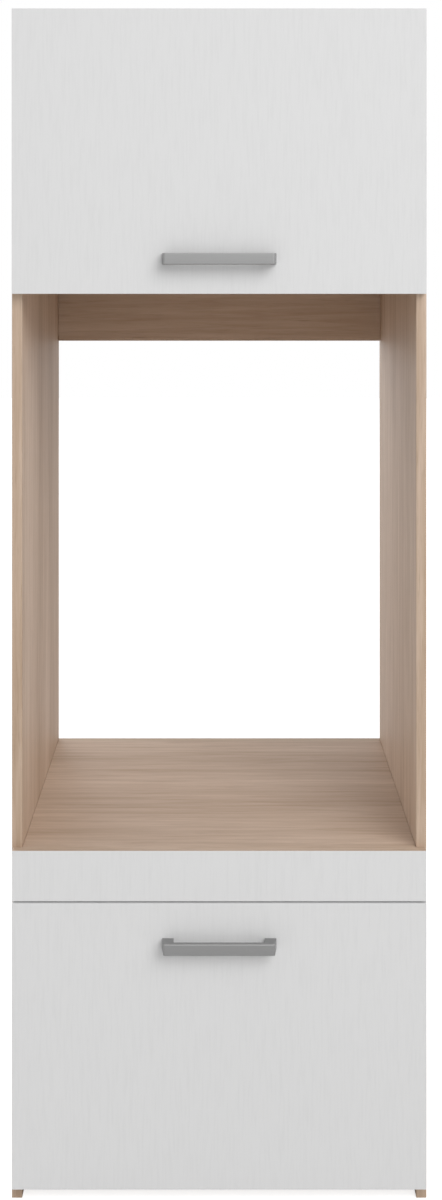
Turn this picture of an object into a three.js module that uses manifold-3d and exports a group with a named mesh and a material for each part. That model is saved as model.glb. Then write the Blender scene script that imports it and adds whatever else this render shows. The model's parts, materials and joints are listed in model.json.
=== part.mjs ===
import * as THREE from 'three';
import { RoundedBoxGeometry } from 'three/addons/geometries/RoundedBoxGeometry.js';
import { mergeVertices } from 'three/addons/utils/BufferGeometryUtils.js';
import Module from 'manifold-3d';

// Tall laundry cabinet: a lift-up flap above, an open bay, and a deep drawer below.
// Millimetres. X to the right, -Y to the front, +Z up.
// The origin is on the floor, under the middle of the whole cabinet with its handles.

// Carcass boards
const carcassWidth = 642;
const carcassDepth = 600;
const boardThickness = 16;
const backPanelThickness = 3;
const seam = 0.25; // left between two boards that are screwed together

// Fronts, from the floor up
const frontThickness = 16;
const frontGap = 3; // between the carcass and the inner face of a front
const frontEdgeRadius = 0.8;
const frontSideReveal = 2; // side panel edge that shows beside a front
const drawerFrontBase = 23;
const drawerFrontHeight = 440;
const frontReveal = 2; // between the drawer front and the fascia
const fasciaHeight = 78;
const bayHeight = 857;
const flapHeight = 439;
const flapTopReveal = 1;

// Boards inside the carcass
const bottomBoardBase = 30;
const bayShelfThickness = 22;
const supportRailHeight = 55;
const stretcherHeight = 100;

// Running and assembly clearances
const runningGap = 0.3;
const cutOverrun = 2;

// Bar handle, seen from above: two posts and a bar, with ends drawn in towards the front
const handleHoleSpacing = 160;
const handleHoleMargin = 8; // from a screw hole to the end of the handle
const handleProjection = 25.5;
const handleHeight = 17.8;
const handleBarDepth = 9.5;
const handlePostWidth = 18;
const handleEndDraft = 2.5;
const handleCornerRadius = 3;
const handleFilletRadius = 3;
const handleBevel = 1.5;
const flapHandleRise = 54; // handle centre above the lower edge of the flap
const drawerHandleDrop = 61.7; // handle centre below the upper edge of the drawer front

// Handle screw
const screwRadius = 2;
const screwHeadRadius = 4.2;
const screwHeadHeight = 2.6;
const screwGrip = 9; // thread inside the handle post

// Countersunk screws that hold the fascia and the wall brackets
const boardScrew = { radius: 2, headRadius: 3.9, headDepth: 1.8 };
const fasciaScrewGrip = 11; // thread inside the fascia
const fasciaScrewFromSide = 104; // from the inner face of the side panel
const bracketScrewGrip = 12; // thread inside the top board

// Concealed flap hinge
const hingeFromSide = 104; // from the inner face of the side panel
const cupRadius = 17.5;
const cupEdgeDistance = 3; // from the upper edge of the flap to the cup
const cupFlangeThickness = 1;
const cupFlangeWidth = 52;
const cupFlangeHeight = 22;
const cupFlangeRadius = 6;
const cupWall = 1;
const cupFloor = 0.8;
const hingeArmWidth = 8.9;
const knuckleRadius = 2.1;
const hingePinRadius = 1.15;
const hingePinLength = 18;
const hingeSwingClearance = 0.45; // between the turning flap edge and the top board
const hingeArmThickness = 4.7;
const hingeBodyLength = 54;
const hingeBodyWidth = 14;
const hingeBodyHeight = 9.7;
const hingeBodyRadius = 1.5;
const hingeBodySetback = 8;
const hingeCrankLap = 2; // of the crank inside the body
const hingePlateThickness = 2.5;
const hingePlateLength = 50;
const hingePlateWidth = 18;
const hingeWingSpan = 46;
const hingeWingLength = 16;

// Flap stay: arm and link make a parallelogram with the flap and the line between the fixed pivots
const stayPlateThickness = 2;
const stayBarThickness = 2.5;
const stayPinRadius = 3;
const stayHeadRadius = 5;
const stayHeadThickness = 1.5;
const stayArmRadius = 7.5;
const stayLinkRadius = 6.5;
const stayFlapPivotDrop = 141; // below the hinge axis
const stayFlapPivotStandoff = 13; // behind the inner face of the flap
const stayBackset = 75; // fixed pivot behind the hinge axis
const stayDrop = 60; // fixed pivot below the hinge axis
const stayPlateLength = 84;
const stayPlateWidth = 40;
const stayPlateCornerRadius = 6;
const brakeKnobRadius = 12;
const brakeKnobThickness = 5;
const flapBracketHeight = 46;
const flapBracketWidth = 20;
const flapBracketEarRadius = 8;

// Buffers
const bufferRadius = 5;
const flapBufferFromSide = 40; // from the inner face of the side panel
const drawerBufferDrop = 24; // below the upper edge of the drawer front

// Drawer box
const drawerBoardThickness = 16;
const drawerBoxBase = 58;
const drawerSideHeight = 300;
const drawerBackHeight = 270;
const drawerBottomThickness = 3;
const drawerBottomRise = 10; // groove above the lower edge of the side
const drawerGrooveDepth = 8;
const angleLeaf = 30;
const angleHeight = 60;
const angleThickness = 2;

// Telescopic runner, three nested steel sections
const runnerRearSpace = 97; // between the drawer box and the back panel
const runnerSetback = 3;
const runnerSpace = 12.7; // between the side panel and the drawer side
const runnerHeight = 45;
const runnerSheet = 1.2;
const runnerLipHeight = 2.5;
const runnerFlangeReach = 8; // of the cabinet member
const runnerRise = 60; // centre above the lower edge of the drawer side
const runnerGap = 0.35;

// Wall bracket
const wallBracketLeaf = 34;
const wallBracketWidth = 22;
const wallBracketThickness = 2.5;
const wallBracketHoleRadius = 3.5;
const wallBracketFromSide = 46;

// Facets of round pieces
const cupSides = 40;
const knobSides = 32;
const pinSides = 24;
const screwSides = 20;
const boreSides = 16;
const arcSegments = 8; // of each curve in an outline
const handleArcSegments = 5;
const edgeSegments = 2; // of rounded edges

// Levels and planes that follow from the sizes above
const drawerFrontTop = drawerFrontBase + drawerFrontHeight;
const fasciaBase = drawerFrontTop + frontReveal;
const bayFloor = fasciaBase + fasciaHeight;
const bayTop = bayFloor + bayHeight;
const flapTop = bayTop + flapHeight;
const carcassHeight = flapTop + flapTopReveal;
const halfWidth = carcassWidth / 2;
const halfInner = halfWidth - boardThickness;
const wholeDepth = carcassDepth + frontGap + frontThickness + handleProjection;
const carcassRear = wholeDepth / 2;
const carcassFront = carcassRear - carcassDepth;
const frontInnerFace = carcassFront - frontGap;
const frontOuterFace = frontInnerFace - frontThickness;
const frontWidth = carcassWidth - 2 * frontSideReveal;
const shelfUnderside = bayFloor - bayShelfThickness;
const railTop = shelfUnderside - seam;
const railMiddle = railTop - supportRailHeight / 2;
const underTopBoard = carcassHeight - boardThickness - seam;
const boardRear = carcassRear - backPanelThickness - seam;
const flapHandleLevel = bayTop + flapHandleRise;
const drawerHandleLevel = drawerFrontTop - drawerHandleDrop;

// Hinge axis: low enough to clear the cup wall,
// and deep enough in the flap that the flap's edge swings past the top board
const pocketHalfWidth = hingeArmWidth / 2 + runningGap;
const cupCentreDrop = cupEdgeDistance + cupRadius; // below the upper edge of the flap
const pocketHalfHeight = Math.sqrt((cupRadius - cupWall) ** 2 - pocketHalfWidth ** 2);
const axisDrop = cupCentreDrop - pocketHalfHeight + knuckleRadius + runningGap;
const swingTerm = frontGap ** 2 + axisDrop ** 2 - hingeSwingClearance ** 2;
const axisReach = swingTerm / (2 * (frontGap - hingeSwingClearance)); // in front of the carcass
const hingeAxis = { y: carcassFront - axisReach, z: flapTop - axisDrop };
const hingeBoreRadius = hingePinRadius + runningGap;
const openFlangeLevel = hingeAxis.z - (axisReach - frontGap + cupFlangeThickness); // flap at 90 degrees
const underPlate = underTopBoard - hingePlateThickness - runningGap;
const hingeArmTop = Math.min(openFlangeLevel - 2 * runningGap, underPlate);
const hingeX = halfInner - hingeFromSide;

// Stay pivots at rest
const flapPivot = { y: frontInnerFace + stayFlapPivotStandoff, z: hingeAxis.z - stayFlapPivotDrop };
const fixedPivot = { y: hingeAxis.y + stayBackset, z: hingeAxis.z - stayDrop };
const kneePivot = {
  y: fixedPivot.y + flapPivot.y - hingeAxis.y,
  z: fixedPivot.z + flapPivot.z - hingeAxis.z,
};
const stayBoreRadius = stayPinRadius + runningGap;

// Layers of a stay, measured inwards from the side panel
const stayPlateFace = seam + stayPlateThickness;
const stayArmStart = stayPlateFace + runningGap;
const stayArmEnd = stayArmStart + stayBarThickness;
const stayLinkStart = stayArmEnd + runningGap;
const stayLinkEnd = stayLinkStart + stayBarThickness;
const stayEarStart = stayLinkEnd + runningGap;
const stayEarEnd = stayEarStart + stayPlateThickness;

// Drawer box and its runners
const runnerLength = carcassDepth - backPanelThickness - runnerRearSpace;
const drawerHalfWidth = halfInner - runnerSpace;
const drawerHalfInner = drawerHalfWidth - drawerBoardThickness;
const drawerSideFront = frontInnerFace + seam;
const drawerRear = carcassFront + runnerLength;
const drawerBottomLevel = drawerBoxBase + drawerBottomRise;
const drawerGrooveTop = drawerBottomLevel + drawerBottomThickness + 2 * seam;
const runnerLevel = drawerBoxBase + runnerRise;

const oak = new THREE.MeshStandardMaterial({ color: 0xc3ad96, roughness: 0.6, metalness: 0 });
const white = new THREE.MeshStandardMaterial({ color: 0xf1f1f0, roughness: 0.45, metalness: 0 });
const hardboard = new THREE.MeshStandardMaterial({ color: 0xe6e3dd, roughness: 0.7, metalness: 0 });
const aluminium = new THREE.MeshStandardMaterial({ color: 0xa6a6a6, roughness: 0.4, metalness: 1 });
const nickel = new THREE.MeshStandardMaterial({ color: 0xb9b8b4, roughness: 0.3, metalness: 1 });
const zinc = new THREE.MeshStandardMaterial({ color: 0xa9acae, roughness: 0.45, metalness: 1 });
const clearBuffer = new THREE.MeshStandardMaterial({ color: 0xd9dcdc, roughness: 0.35, metalness: 0 });

const wasm = await Module();
wasm.setup();

// Solid for a boolean, from a closed geometry
function solid(geometry) {
  const bare = geometry.clone();
  bare.deleteAttribute('normal');
  bare.deleteAttribute('uv');
  const merged = mergeVertices(bare);
  return new wasm.Manifold(new wasm.Mesh({
    numProp: 3,
    vertProperties: new Float32Array(merged.attributes.position.array),
    triVerts: new Uint32Array(merged.index.array),
  }));
}

// Geometry for a mesh, from a solid
function geometryOf(body) {
  const mesh = body.getMesh();
  const geometry = new THREE.BufferGeometry();
  geometry.setAttribute('position', new THREE.BufferAttribute(mesh.vertProperties, 3));
  geometry.setIndex(new THREE.BufferAttribute(mesh.triVerts, 1));
  const faceted = geometry.toNonIndexed();
  faceted.computeVertexNormals();
  return faceted;
}

function joined(first, ...others) {
  return geometryOf(others.reduce((body, other) => body.add(solid(other)), solid(first)));
}

function cut(first, ...tools) {
  return geometryOf(tools.reduce((body, tool) => body.subtract(solid(tool)), solid(first)));
}

// Box between two corners
function block(low, high) {
  const size = high.map((value, i) => value - low[i]);
  const centre = high.map((value, i) => (value + low[i]) / 2);
  return new THREE.BoxGeometry(...size).translate(...centre);
}

// Shape drawn in X and Y, extruded upwards with square ends
function straightExtrusion(shape, depth) {
  return new THREE.ExtrudeGeometry(shape, { depth, bevelEnabled: false, curveSegments: arcSegments });
}

// Shape drawn in Y and Z, extruded along X between two planes
function extrudedAlongX(shape, start, end) {
  const [low, high] = [Math.min(start, end), Math.max(start, end)];
  const axes = new THREE.Matrix4().makeBasis(
    new THREE.Vector3(0, 1, 0), new THREE.Vector3(0, 0, 1), new THREE.Vector3(1, 0, 0));
  return straightExtrusion(shape, high - low).applyMatrix4(axes).translate(low, 0, 0);
}

// Shape drawn in X and Z, extruded along Y between two planes
function extrudedAlongY(shape, low, high) {
  const axes = new THREE.Matrix4().makeBasis(
    new THREE.Vector3(1, 0, 0), new THREE.Vector3(0, 0, 1), new THREE.Vector3(0, -1, 0));
  return straightExtrusion(shape, high - low).applyMatrix4(axes).translate(0, high, 0);
}

// Round bar along X, between two planes
function barAlongX(radius, start, end, centre, facets = pinSides) {
  const geometry = new THREE.CylinderGeometry(radius, radius, Math.abs(end - start), facets);
  return geometry.rotateZ(Math.PI / 2).translate((start + end) / 2, centre.y, centre.z);
}

// Round bar along Y, between two planes
function barAlongY(radius, low, high, x, z, facets) {
  const geometry = new THREE.CylinderGeometry(radius, radius, high - low, facets);
  return geometry.translate(x, (low + high) / 2, z);
}

// Rectangle with round corners
function roundedRectangle(left, bottom, width, height, radius) {
  const shape = new THREE.Shape();
  shape.moveTo(left + radius, bottom);
  shape.lineTo(left + width - radius, bottom);
  shape.absarc(left + width - radius, bottom + radius, radius, -Math.PI / 2, 0, false);
  shape.lineTo(left + width, bottom + height - radius);
  shape.absarc(left + width - radius, bottom + height - radius, radius, 0, Math.PI / 2, false);
  shape.lineTo(left + radius, bottom + height);
  shape.absarc(left + radius, bottom + height - radius, radius, Math.PI / 2, Math.PI, false);
  shape.lineTo(left, bottom + radius);
  shape.absarc(left + radius, bottom + radius, radius, Math.PI, 1.5 * Math.PI, false);
  return shape;
}

// Flat bar with round ends about two pivots
function barOutline(from, to, radius) {
  const angle = Math.atan2(to.z - from.z, to.y - from.y);
  const shape = new THREE.Shape();
  shape.absarc(to.y, to.z, radius, angle - Math.PI / 2, angle + Math.PI / 2, false);
  shape.absarc(from.y, from.z, radius, angle + Math.PI / 2, angle + 1.5 * Math.PI, false);
  shape.closePath();
  return shape;
}

function addPiece(group, name, geometry, material) {
  const mesh = new THREE.Mesh(geometry, material);
  mesh.name = name;
  group.add(mesh);
}

function addBoard(group, name, low, high, material) {
  const mesh = new THREE.Mesh(new THREE.BoxGeometry(...high.map((value, i) => value - low[i])), material);
  mesh.name = name;
  mesh.position.set(...high.map((value, i) => (value + low[i]) / 2));
  group.add(mesh);
}

// The left side is -1, the right side +1
const sides = [['left', -1], ['right', 1]];

// Turned piece from a profile of radii and heights along Y, with its -Y end turned towards a direction
function turned(profile, { at, into }) {
  const points = profile.map(([radius, y]) => new THREE.Vector2(radius, y));
  const [down, direction] = [new THREE.Vector3(0, -1, 0), new THREE.Vector3(...into)];
  const turn = new THREE.Quaternion().setFromUnitVectors(down, direction);
  return new THREE.LatheGeometry(points, screwSides).applyQuaternion(turn).translate(...at);
}

// Countersunk screw whose head is flush at its place
function boardScrewPiece({ radius, headRadius, headDepth }, { length, ...place }) {
  return turned([[0, -length], [radius, -length], [radius, -headDepth], [headRadius, 0], [0, 0]], place);
}

// Hole for a countersunk screw, in everything that it passes through
function boardScrewHole({ radius, headRadius, headDepth }, { length, ...place }) {
  const wide = radius + runningGap;
  const wideHead = headRadius + runningGap;
  const end = -length - runningGap;
  return turned([[0, end], [wide, end], [wide, -headDepth], [wideHead, 0], [wideHead, cutOverrun],
    [0, cutOverrun]], place);
}

// Screw through the front support rail into the fascia
function fasciaScrewPlace(side) {
  return {
    at: [side * (halfInner - fasciaScrewFromSide), carcassFront + boardThickness, railMiddle],
    into: [0, -1, 0],
    length: boardThickness + seam + fasciaScrewGrip,
  };
}

// Screw up through the wall bracket into the top board
function bracketScrewPlace(side) {
  return {
    at: [
      side * (halfInner - wallBracketFromSide),
      boardRear - (wallBracketLeaf + wallBracketThickness) / 2,
      underTopBoard - wallBracketThickness,
    ],
    into: [0, 0, 1],
    length: wallBracketThickness + seam + bracketScrewGrip,
  };
}

// Hole for the screw of a wall bracket, through what lies between two planes
function wallScrewHole(side, front, rear) {
  const level = underTopBoard - wallBracketLeaf / 2;
  return barAlongY(wallBracketHoleRadius, front - cutOverrun, rear + cutOverrun,
    side * (halfInner - wallBracketFromSide), level, screwSides);
}

// White board across the front, with slightly rounded edges
function frontBoard(middle, base, height) {
  const board = new RoundedBoxGeometry(frontWidth, frontThickness, height, edgeSegments, frontEdgeRadius);
  return board.translate(0, middle, base + height / 2);
}

// Side panels, boards, rails, back panels and the fascia
function makeCarcass() {
  const carcass = new THREE.Group();
  for (const [label, side] of sides) {
    const faces = [side * halfInner, side * halfWidth].sort((a, b) => a - b);
    const low = [faces[0], carcassFront, 0];
    const high = [faces[1], carcassRear, carcassHeight];
    addBoard(carcass, `side_panel_${label}`, low, high, oak);
  }
  const reach = halfInner - seam;
  const across = (name, front, rear, base, top, material, holes = []) => {
    addPiece(carcass, name, cut(block([-reach, front, base], [reach, rear, top]), ...holes), material);
  };
  const bracketScrewHoles = sides.map(([, side]) => boardScrewHole(boardScrew, bracketScrewPlace(side)));
  across('top_board', carcassFront, boardRear, carcassHeight - boardThickness, carcassHeight, oak,
    bracketScrewHoles);
  across('compartment_floor', carcassFront, boardRear, bayTop, bayTop + boardThickness, oak);
  across('bay_shelf', carcassFront, boardRear, shelfUnderside, bayFloor, oak);
  across('bottom_board', carcassFront, boardRear, bottomBoardBase, bottomBoardBase + boardThickness, oak);
  const fasciaScrewHoles = sides.map(([, side]) => boardScrewHole(boardScrew, fasciaScrewPlace(side)));
  const middleFront = (carcassFront + boardRear - boardThickness) / 2;
  const railFronts = { front: carcassFront, middle: middleFront, rear: boardRear - boardThickness };
  for (const [place, front] of Object.entries(railFronts)) {
    const base = railTop - supportRailHeight;
    const holes = place === 'front' ? fasciaScrewHoles : [];
    across(`support_rail_${place}`, front, front + boardThickness, base, railTop, oak, holes);
  }
  const stretcherTop = bayTop - seam;
  const stretcherBase = stretcherTop - stretcherHeight;
  across('rear_stretcher', carcassRear - boardThickness, carcassRear, stretcherBase, stretcherTop, oak);
  const backFront = carcassRear - backPanelThickness;
  across('lower_back_panel', backFront, carcassRear, bottomBoardBase, bayFloor, hardboard);
  const wallScrewHoles = sides.map(([, side]) => wallScrewHole(side, backFront, carcassRear));
  across('upper_back_panel', backFront, carcassRear, bayTop, carcassHeight, hardboard, wallScrewHoles);
  const fasciaMiddle = carcassFront - seam - frontThickness / 2;
  const fascia = frontBoard(fasciaMiddle, fasciaBase, fasciaHeight);
  addPiece(carcass, 'fascia', cut(fascia, ...fasciaScrewHoles), white);
  for (const [label, side] of sides) {
    addPiece(carcass, `fascia_screw_${label}`, boardScrewPiece(boardScrew, fasciaScrewPlace(side)), zinc);
  }
  return carcass;
}

// Front panel with its two handle screw holes
function frontPanel(base, height, handleLevel) {
  const panel = frontBoard((frontInnerFace + frontOuterFace) / 2, base, height);
  const holes = sides.map(([, side]) => barAlongY(screwRadius + runningGap, frontOuterFace - cutOverrun,
    frontInnerFace + cutOverrun, side * handleHoleSpacing / 2, handleLevel, boreSides));
  return { panel, holes };
}

// Outline of the handle from above, from the face of the front outwards
function handleOutline() {
  const half = handleHoleSpacing / 2 + handleHoleMargin;
  const innerHalf = half - handlePostWidth;
  const gapDepth = handleProjection - handleBarDepth;
  const foot = frontOuterFace - seam;
  const front = frontOuterFace - handleProjection;
  const shape = new THREE.Shape();
  shape.moveTo(half, foot);
  shape.lineTo(innerHalf, foot);
  shape.lineTo(innerHalf, frontOuterFace - gapDepth + handleFilletRadius);
  shape.absarc(innerHalf - handleFilletRadius, frontOuterFace - gapDepth + handleFilletRadius,
    handleFilletRadius, 0, -Math.PI / 2, true);
  shape.lineTo(-innerHalf + handleFilletRadius, frontOuterFace - gapDepth);
  shape.absarc(-innerHalf + handleFilletRadius, frontOuterFace - gapDepth + handleFilletRadius,
    handleFilletRadius, -Math.PI / 2, -Math.PI, true);
  shape.lineTo(-innerHalf, foot);
  shape.lineTo(-half, foot);
  const frontHalf = half - handleEndDraft;
  shape.lineTo(-frontHalf, front + handleCornerRadius);
  shape.absarc(-frontHalf + handleCornerRadius, front + handleCornerRadius,
    handleCornerRadius, Math.PI, 1.5 * Math.PI, false);
  shape.lineTo(frontHalf - handleCornerRadius, front);
  shape.absarc(frontHalf - handleCornerRadius, front + handleCornerRadius,
    handleCornerRadius, -Math.PI / 2, 0, false);
  shape.closePath();
  return shape;
}

// Bar handle with a blind screw hole in each post
function handleGeometry(level) {
  const bow = new THREE.ExtrudeGeometry(handleOutline(), {
    depth: handleHeight - 2 * handleBevel,
    bevelThickness: handleBevel,
    bevelSize: handleBevel,
    bevelOffset: -handleBevel,
    bevelSegments: edgeSegments,
    curveSegments: handleArcSegments,
  });
  bow.translate(0, 0, level - handleHeight / 2 + handleBevel);
  const holeEnd = frontOuterFace - screwGrip - runningGap;
  const holes = sides.map(([, side]) => barAlongY(screwRadius + runningGap, holeEnd,
    frontOuterFace + cutOverrun, side * handleHoleSpacing / 2, level, boreSides));
  return cut(bow, ...holes);
}

// Screw from behind the front into a handle post
function handleScrew() {
  const shank = frontThickness + screwGrip;
  const profile = [
    [0, -shank], [screwRadius, -shank], [screwRadius, 0], [screwHeadRadius, 0],
    [screwHeadRadius, screwHeadHeight / 2], [screwHeadRadius / 2, screwHeadHeight], [0, screwHeadHeight],
  ];
  return new THREE.LatheGeometry(profile.map(([radius, y]) => new THREE.Vector2(radius, y)), screwSides);
}

function addHandle(group, label, level) {
  addPiece(group, `${label}_handle`, handleGeometry(level), aluminium);
  for (const [name, side] of sides) {
    const screw = handleScrew().translate(side * handleHoleSpacing / 2, frontInnerFace + seam, level);
    addPiece(group, `${label}_handle_screw_${name}`, screw, zinc);
  }
}

// Hinge cup with the pocket for the arm and the bore of its pin
function hingeCup(x) {
  const centre = flapTop - cupCentreDrop;
  const pocketFloor = hingeAxis.y - knuckleRadius - runningGap;
  const flangeMiddle = frontInnerFace + seam + cupFlangeThickness / 2;
  const cup = barAlongY(cupRadius, pocketFloor - cupFloor, flangeMiddle, x, centre, cupSides);
  const flangeShape = roundedRectangle(x - cupFlangeWidth / 2, centre - cupFlangeHeight / 2,
    cupFlangeWidth, cupFlangeHeight, cupFlangeRadius);
  const flange = extrudedAlongY(flangeShape, frontInnerFace + seam, frontInnerFace + cupFlangeThickness);
  const pocket = block([x - pocketHalfWidth, pocketFloor, centre - pocketHalfHeight],
    [x + pocketHalfWidth, frontInnerFace + cupFlangeThickness + cutOverrun, centre + pocketHalfHeight]);
  const boreHalf = hingePinLength / 2 + runningGap;
  const bore = barAlongX(hingeBoreRadius, x - boreHalf, x + boreHalf, hingeAxis, boreSides);
  return cut(joined(cup, flange), pocket, bore);
}

// Hinge arm: a body under the plate, and a crank that turns up into the cup and round the pin
function hingeArm(x) {
  const rear = carcassFront + hingeBodySetback;
  const bottom = hingeArmTop - hingeArmThickness;
  const crank = new THREE.Shape();
  crank.moveTo(rear + hingeCrankLap, bottom);
  crank.lineTo(hingeAxis.y, bottom);
  crank.absarc(hingeAxis.y, bottom + knuckleRadius, knuckleRadius, -Math.PI / 2, -Math.PI, true);
  crank.lineTo(hingeAxis.y - knuckleRadius, hingeAxis.z);
  crank.absarc(hingeAxis.y, hingeAxis.z, knuckleRadius, Math.PI, 0, true);
  crank.lineTo(hingeAxis.y + knuckleRadius, hingeArmTop);
  crank.lineTo(rear + hingeCrankLap, hingeArmTop);
  crank.closePath();
  const front = extrudedAlongX(crank, x - hingeArmWidth / 2, x + hingeArmWidth / 2);
  const body = new RoundedBoxGeometry(hingeBodyWidth, hingeBodyLength, hingeBodyHeight,
    edgeSegments, hingeBodyRadius);
  body.translate(x, rear + hingeBodyLength / 2, hingeArmTop - hingeBodyHeight / 2);
  const bore = barAlongX(hingeBoreRadius, x - hingeArmWidth, x + hingeArmWidth, hingeAxis, boreSides);
  return cut(joined(front, body), bore);
}

// Mounting plate under the top board, with two wings for its screws
function hingePlate(x) {
  const front = carcassFront + hingeBodySetback;
  const spine = block([x - hingePlateWidth / 2, front, hingeArmTop + runningGap],
    [x + hingePlateWidth / 2, front + hingePlateLength, underTopBoard]);
  const wingFront = front + (hingePlateLength - hingeWingLength) / 2;
  const wings = block([x - hingeWingSpan / 2, wingFront, underTopBoard - hingePlateThickness],
    [x + hingeWingSpan / 2, wingFront + hingeWingLength, underTopBoard]);
  return joined(spine, wings);
}

function addHinge(fixed, moving, label, side) {
  const x = side * hingeX;
  addPiece(fixed, `hinge_plate_${label}`, hingePlate(x), nickel);
  addPiece(fixed, `hinge_arm_${label}`, hingeArm(x), nickel);
  addPiece(moving, `hinge_cup_${label}`, hingeCup(x), nickel);
  addPiece(moving, `hinge_pin_${label}`, barAlongX(hingePinRadius, x - hingePinLength / 2,
    x + hingePinLength / 2, hingeAxis, boreSides), zinc);
}

// Bracket of the stay on the side panel, with the pivot pin and the brake knob over the arm
function stayBracket(side) {
  const inwards = (depth) => side * (halfInner - depth);
  const outline = roundedRectangle(fixedPivot.y - stayPlateWidth / 2, fixedPivot.z - stayPlateLength / 2,
    stayPlateWidth, stayPlateLength, stayPlateCornerRadius);
  const plate = extrudedAlongX(outline, inwards(seam), inwards(stayPlateFace));
  const pin = barAlongX(stayPinRadius, inwards(seam + stayPlateThickness / 2),
    inwards(stayLinkStart + brakeKnobThickness / 2), fixedPivot);
  const knob = barAlongX(brakeKnobRadius, inwards(stayLinkStart),
    inwards(stayLinkStart + brakeKnobThickness), fixedPivot, knobSides);
  return joined(plate, pin, knob);
}

// Arm of the stay, with the knee rivet through the link
function stayArm(side) {
  const inwards = (depth) => side * (halfInner - depth);
  const outline = barOutline(fixedPivot, kneePivot, stayArmRadius);
  const bar = extrudedAlongX(outline, inwards(stayArmStart), inwards(stayArmEnd));
  const bore = barAlongX(stayBoreRadius, inwards(stayArmStart - cutOverrun),
    inwards(stayArmEnd + cutOverrun), fixedPivot);
  const rivet = barAlongX(stayPinRadius, inwards(stayArmEnd - stayBarThickness / 2),
    inwards(stayEarStart + stayHeadThickness / 2), kneePivot);
  const head = barAlongX(stayHeadRadius, inwards(stayEarStart),
    inwards(stayEarStart + stayHeadThickness), kneePivot);
  return joined(cut(bar, bore), rivet, head);
}

// Link of the stay, with a bore at each end
function stayLink(side) {
  const inwards = (depth) => side * (halfInner - depth);
  const outline = barOutline(kneePivot, flapPivot, stayLinkRadius);
  const bar = extrudedAlongX(outline, inwards(stayLinkStart), inwards(stayLinkEnd));
  const bores = [kneePivot, flapPivot].map((pivot) => barAlongX(stayBoreRadius,
    inwards(stayLinkStart - cutOverrun), inwards(stayLinkEnd + cutOverrun), pivot));
  return cut(bar, ...bores);
}

// Bracket of the stay on the flap: a base plate, an ear and the pin through the link
function flapBracket(side) {
  const inwards = (depth) => side * (halfInner - depth);
  const baseRear = frontInnerFace + seam + stayPlateThickness;
  const edges = [inwards(stayEarStart), inwards(stayEarStart + flapBracketWidth)].sort((a, b) => a - b);
  const base = block([edges[0], frontInnerFace + seam, flapPivot.z - flapBracketHeight / 2],
    [edges[1], baseRear, flapPivot.z + flapBracketHeight / 2]);
  const ear = new THREE.Shape();
  ear.moveTo(baseRear - stayPlateThickness / 2, flapPivot.z - flapBracketHeight / 2);
  ear.lineTo(baseRear, flapPivot.z - flapBracketHeight / 2);
  ear.lineTo(flapPivot.y, flapPivot.z - flapBracketEarRadius);
  ear.absarc(flapPivot.y, flapPivot.z, flapBracketEarRadius, -Math.PI / 2, Math.PI / 2, false);
  ear.lineTo(baseRear, flapPivot.z + flapBracketHeight / 2);
  ear.lineTo(baseRear - stayPlateThickness / 2, flapPivot.z + flapBracketHeight / 2);
  ear.closePath();
  const web = extrudedAlongX(ear, inwards(stayEarStart), inwards(stayEarEnd));
  const headEnd = stayArmEnd - stayHeadThickness;
  const pin = barAlongX(stayPinRadius, inwards(stayEarStart + stayPlateThickness / 2),
    inwards(stayArmEnd - stayHeadThickness / 2), flapPivot);
  const head = barAlongX(stayHeadRadius, inwards(stayArmEnd), inwards(headEnd), flapPivot);
  return joined(base, web, pin, head);
}

function addStay(fixed, moving, stays, label, side) {
  addPiece(fixed, `stay_bracket_${label}`, stayBracket(side), nickel);
  addPiece(stays, `stay_arm_${label}`, stayArm(side), nickel);
  addPiece(stays, `stay_link_${label}`, stayLink(side), nickel);
  addPiece(moving, `flap_bracket_${label}`, flapBracket(side), nickel);
}

// Round buffer on a carcass edge behind a front
function buffer(x, z) {
  return barAlongY(bufferRadius, frontInnerFace + runningGap, carcassFront - seam, x, z, screwSides);
}

// Flap with its handle, hinges, stays and buffers
function makeFlap() {
  const fixed = new THREE.Group();
  const moving = new THREE.Group();
  const stays = new THREE.Group();
  const { panel, holes } = frontPanel(bayTop, flapHeight, flapHandleLevel);
  const boreFloor = hingeAxis.y - knuckleRadius - cupFloor - 2 * runningGap;
  const cupBores = sides.map(([, side]) => barAlongY(cupRadius + runningGap, boreFloor,
    frontInnerFace + cutOverrun, side * hingeX, flapTop - cupCentreDrop, cupSides));
  addPiece(moving, 'flap_panel', cut(panel, ...holes, ...cupBores), white);
  addHandle(moving, 'flap', flapHandleLevel);
  for (const [label, side] of sides) {
    addHinge(fixed, moving, label, side);
    addStay(fixed, moving, stays, label, side);
    const bufferX = side * (halfInner - flapBufferFromSide);
    addPiece(fixed, `flap_buffer_${label}`, buffer(bufferX, bayTop + boardThickness / 2), clearBuffer);
  }
  const flap = new THREE.Group();
  flap.add(fixed, moving, stays);
  return flap;
}

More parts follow.
